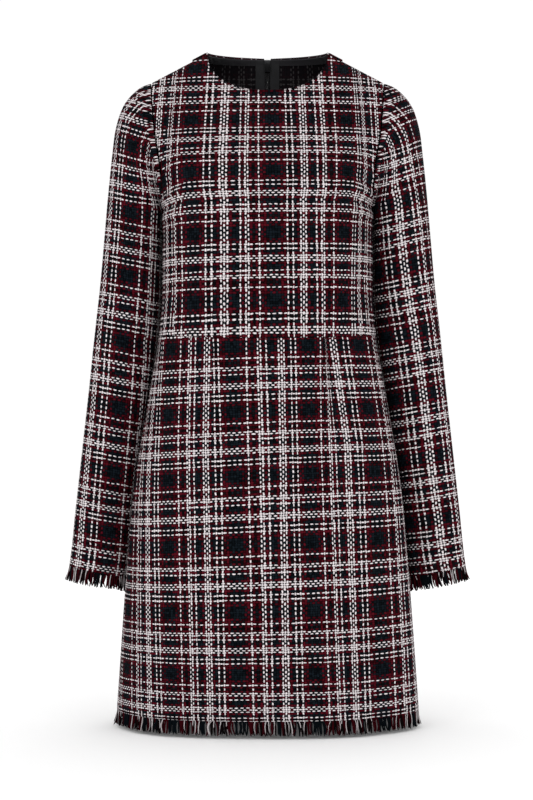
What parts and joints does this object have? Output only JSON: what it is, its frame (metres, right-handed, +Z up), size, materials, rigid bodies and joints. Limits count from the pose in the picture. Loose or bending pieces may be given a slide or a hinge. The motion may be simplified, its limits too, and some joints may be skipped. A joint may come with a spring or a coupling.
{
  "type": "shift dress",
  "caption": "Long-sleeved above-knee tweed plaid shift dress, hollow as worn, with a waist seam, frayed hem and cuffs and a back zip.",
  "frame": {"origin": "on the centre line, level with the shoulder seams' neck points, in the body's middle plane, where the wearer's shoulders hold the dress", "axes": "+Z up; the front faces -Y; +X is the wearer's left"},
  "size_m": [0.544, 0.2674, 0.8916],
  "materials": {
    "tweed": "plain-woven plaid tweed in black, navy, burgundy and white yarns, matt",
    "fringe": "the tweed's own yarns, frayed, matt",
    "neck_tape": "charcoal twill tape, matt",
    "zip_tape": "black woven polyester tape",
    "zip_coil": "black nylon coil",
    "zip_metal": "black enamel, semi-gloss"
  },
  "bodies": {
    "dress": {"front_bodice": "tweed", "back_bodice_left": "tweed", "back_bodice_right": "tweed", "front_skirt": "tweed", "back_skirt_left": "tweed", "back_skirt_right": "tweed", "sleeve_left": "tweed", "sleeve_right": "tweed", "hem_fringe_front": "fringe", "hem_fringe_back_left": "fringe", "hem_fringe_back_right": "fringe", "cuff_fringe_left": "fringe", "cuff_fringe_right": "fringe", "neck_tape_left": "neck_tape", "neck_tape_right": "neck_tape", "zip_tape_left": "zip_tape", "zip_tape_right": "zip_tape", "zip_coil": "zip_coil", "zip_slider": "zip_metal"},
    "zip_pull": {"zip_pull": "zip_metal"}
  },
  "joints": [
    {"name": "pull_tab_hinge", "type": "hinge", "parent": "dress", "child": "zip_pull", "pos_m": [0, 0.07147, -0.00532], "axis": [1, 0, 0], "range_deg": [0, 150]}
  ]
}
